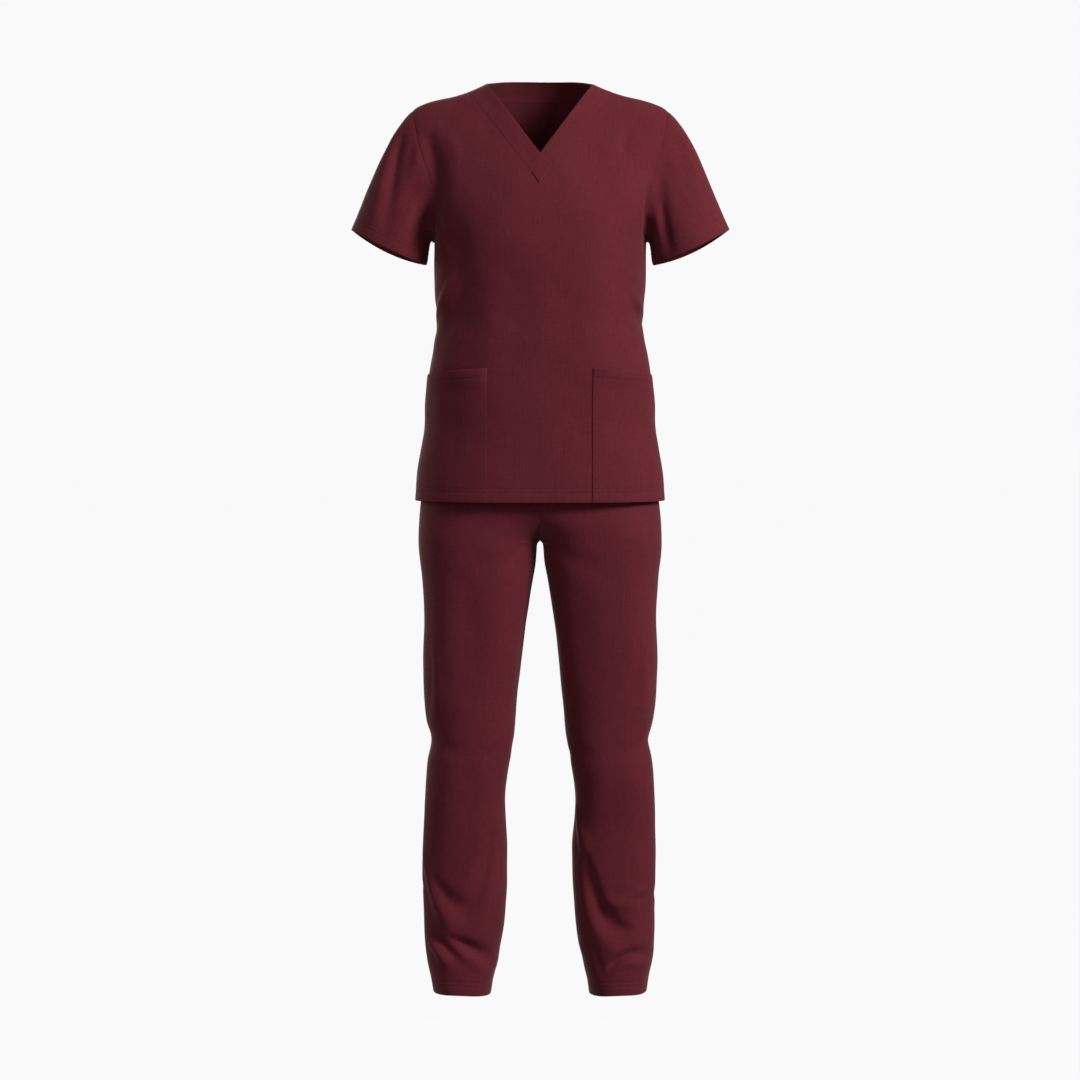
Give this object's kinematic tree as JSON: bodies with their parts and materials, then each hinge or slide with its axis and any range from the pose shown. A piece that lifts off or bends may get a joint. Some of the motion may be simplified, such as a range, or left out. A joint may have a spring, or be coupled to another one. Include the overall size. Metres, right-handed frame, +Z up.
{
  "type": "medical scrubs set",
  "caption": "Scrubs set in its worn form with no wearer: V-neck short-sleeve top with patch pockets over straight trousers, open at neck, cuffs and hems.",
  "frame": {"origin": "between the two neck corners, in the plane of the shoulder seams, where the wearer's shoulders hold the top up", "axes": "+Z up the garment, -Y out of the front, +X towards the wearer's left"},
  "size_m": [0.6078, 0.2395, 1.4656],
  "materials": {
    "scrub_cloth": "burgundy plain-woven uniform cloth, matt with a faint sheen at grazing angles and a slubby thread texture"
  },
  "bodies": {
    "root": {"top_front": "scrub_cloth", "top_back": "scrub_cloth", "sleeve_left": "scrub_cloth", "sleeve_right": "scrub_cloth", "neckband_left": "scrub_cloth", "neckband_right": "scrub_cloth", "neckband_back": "scrub_cloth", "pocket_left": "scrub_cloth", "pocket_right": "scrub_cloth", "trouser_front_left": "scrub_cloth", "trouser_front_right": "scrub_cloth", "trouser_back_left": "scrub_cloth", "trouser_back_right": "scrub_cloth", "waistband": "scrub_cloth"}
  },
  "joints": []
}
